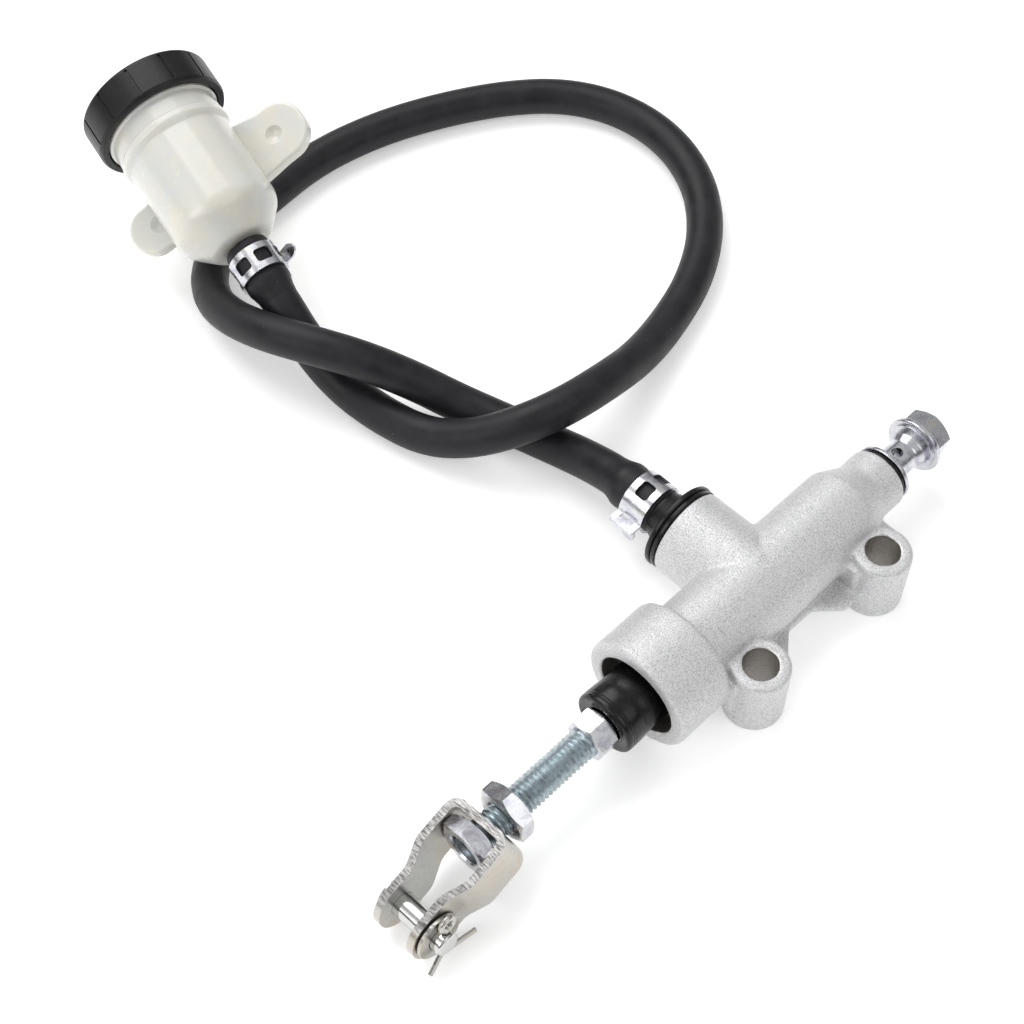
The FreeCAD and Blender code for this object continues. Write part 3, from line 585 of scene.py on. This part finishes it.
def casting():
    """The housing as it is cast: soft fillets where the shapes run together, machined edges left crisp."""
    rough = linked("casting_rough", NODES["cylinder_housing"].data.copy())
    add_pads(rough.data)
    remesh = rough.modifiers.new("voxels", "REMESH")
    remesh.mode = "VOXEL"
    remesh.voxel_size = VOXEL * MM
    bpy.context.view_layer.update()
    graph = bpy.context.evaluated_depsgraph_get()
    mesh = bpy.data.meshes.new_from_object(rough.evaluated_get(graph))
    bpy.data.objects.remove(rough)
    count = len(mesh.vertices)
    points = np.empty(count * 3)
    mesh.vertices.foreach_get("co", points)
    points = points.reshape(-1, 3) / MM
    edges = np.empty(len(mesh.edges) * 2, int)
    mesh.edges.foreach_get("vertices", edges)
    depth = machined_depth(points)
    weight = np.clip((depth - CRISP) / SOFT, 0.0, 1.0) * SOFT_WEIGHT
    relax(points, edges.reshape(-1, 2), weight, SOFT_ROUNDS)
    relax(points, edges.reshape(-1, 2), np.full(count, EVEN_WEIGHT), EVEN_ROUNDS)
    uneven = [noise.noise(Vector(point) * WAVES_PER_MM) for point in points]
    points += np.array(uneven)[:, None] * weight[:, None] * WAVE_HEIGHT
    mesh.vertices.foreach_set("co", (points * MM).ravel())
    mesh.update()
    piece = linked("casting", mesh)
    mesh.name = "casting"
    mesh.polygons.foreach_set("use_smooth", [True] * len(mesh.polygons))
    mesh.materials.clear()
    mesh.materials.append(LOOKS["cast_aluminium"])
    mesh.materials.append(LOOKS["machined_aluminium"])
    centres = np.empty(len(mesh.polygons) * 3)
    mesh.polygons.foreach_get("center", centres)
    machined = machined_depth(centres.reshape(-1, 3) / MM) < MACHINED
    mesh.polygons.foreach_set("material_index", machined.astype(int))
    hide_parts("cylinder_housing")
    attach(piece, "housing")
    return piece


def rod_thread():
    """The rod's M8 thread as a real helix, chamfered at its tip and run out into the hexagon."""
    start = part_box("pushrod")[0].x / MM
    reach = HEX_FRONT + OVERLAP - start
    rings = int(reach / PITCH * RINGS_PER_TURN)
    points = []
    for i in range(rings + 1):
        x = start + reach * i / rings
        for k in range(THREAD_SIDES):
            turn = k / THREAD_SIDES
            phase = (x / PITCH - turn) % 1.0
            groove = min(1.0, max(0.0, (abs(phase - 0.5) - CREST_SHARE) / FLANK_SHARE))
            radius = THREAD_R - THREAD_DEPTH * groove
            radius = min(radius, THREAD_R - TIP_CHAMFER + (x - start))
            radius = max(radius, THREAD_R + min(HAIR, x - HEX_FRONT + RUN_OUT))
            points.append(about_bore(x, radius, 2 * math.pi * turn))
    faces = ring_faces(rings + 1, THREAD_SIDES, False)
    faces.append(tuple(range(THREAD_SIDES)))
    piece = mesh_object("rod_thread", points, faces, 50)
    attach(piece, "pushrod")
    return piece


def rod_body():
    """The rod's hexagon, shank and ball, without the plain cylinder that stands for the thread."""
    mesh = NODES["pushrod"].data.copy()
    work = bmesh.new()
    work.from_mesh(mesh)
    limit = (HEX_FRONT - HAIR) * MM
    plain = [face for face in work.faces if face.calc_center_median().x < limit]
    bmesh.ops.delete(work, geom=plain, context="FACES")
    work.to_mesh(mesh)
    work.free()
    piece = linked("rod_body", mesh)
    shade(piece, 30)
    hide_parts("pushrod")
    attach(piece, "pushrod")
    return piece


# ---------------------------------------------------------------- stage
def studio():
    """Pale floor, soft light from above and behind, and the camera."""
    corners = [(-3, -3, 0), (3, -3, 0), (3, 3, 0), (-3, 3, 0)]
    floor = mesh_object("floor", corners, [(0, 1, 2, 3)])
    floor.data.materials.append(floor_paper())
    soft_light("key", (0.1, 0.9, 1.1), 1.1, 12.0)
    soft_light("left", (-1.2, 0.3, 0.8), 0.8, 5.0)
    soft_light("front", (0.2, -1.1, 1.0), 0.9, 3.0)
    camera = linked("camera", bpy.data.cameras.new("camera"))
    camera.data.lens = CAMERA_LENS
    camera.location = CAMERA_PLACE
    camera.rotation_euler = CAMERA_TURN
    bpy.context.scene.camera = camera
    bpy.context.scene.view_settings.view_transform = "Standard"


def soft_light(name, place, size, power):
    """Square area light that faces the object."""
    light = bpy.data.lights.new(name, "AREA")
    light.size = size
    light.energy = power
    lamp = linked(name, light)
    lamp.location = place
    lamp.rotation_euler = (LIT_PLACE - Vector(place)).to_track_quat("-Z", "Y").to_euler()


def sky():
    """Surroundings: bright overhead and at the horizon, with a dark band between for metal to reflect."""
    world = bpy.data.worlds.new("studio")
    world.use_nodes = True
    tree = world.node_tree
    place = tree.nodes.new("ShaderNodeTexCoord")
    split = tree.nodes.new("ShaderNodeSeparateXYZ")
    ramp = tree.nodes.new("ShaderNodeValToRGB")
    tree.links.new(place.outputs["Generated"], split.inputs[0])
    tree.links.new(split.outputs["Z"], ramp.inputs["Fac"])
    bands = ramp.color_ramp.elements
    bands[0].position = 0.09
    bands[1].position = 0.62
    bands.new(0.13)
    bands.new(0.18)
    for band, brightness in zip(bands, (1.0, 0.07, 0.14, 1.0)):
        band.color = (brightness, brightness, brightness, 1)
    background = tree.nodes["Background"]
    background.inputs["Strength"].default_value = 0.62
    tree.links.new(ramp.outputs["Color"], background.inputs["Color"])
    bpy.context.scene.world = world


# ---------------------------------------------------------------- the whole object
MAKERS = (
    cast_aluminium, machined_aluminium, zinc_steel, bright_steel, chrome, spring_steel, black_rubber,
    hose_rubber, milky_plastic, black_plastic, thread_zinc,
)
LOOKS = {maker.__name__: maker() for maker in MAKERS}


def dress(piece, look):
    """Gives a piece one material all over."""
    piece.data.materials.clear()
    piece.data.materials.append(LOOKS[look])


def main():
    for part in RECORD["subparts"]:
        dress(NODES[part["node"]], part["material_slot"])
    tube, centres = hose()
    ends = [hose_end("hose_end_reservoir", centres), hose_end("hose_end_inlet", centres[::-1])]
    for piece in [tube] + ends:
        dress(piece, "hose_rubber")
    dress(boot(), "black_rubber")
    dress(return_coils(), "spring_steel")
    casting()
    dress(rod_thread(), "thread_zinc")
    dress(rod_body(), "zinc_steel")
    studio()
    sky()


main()
bpy.context.view_layer.update()
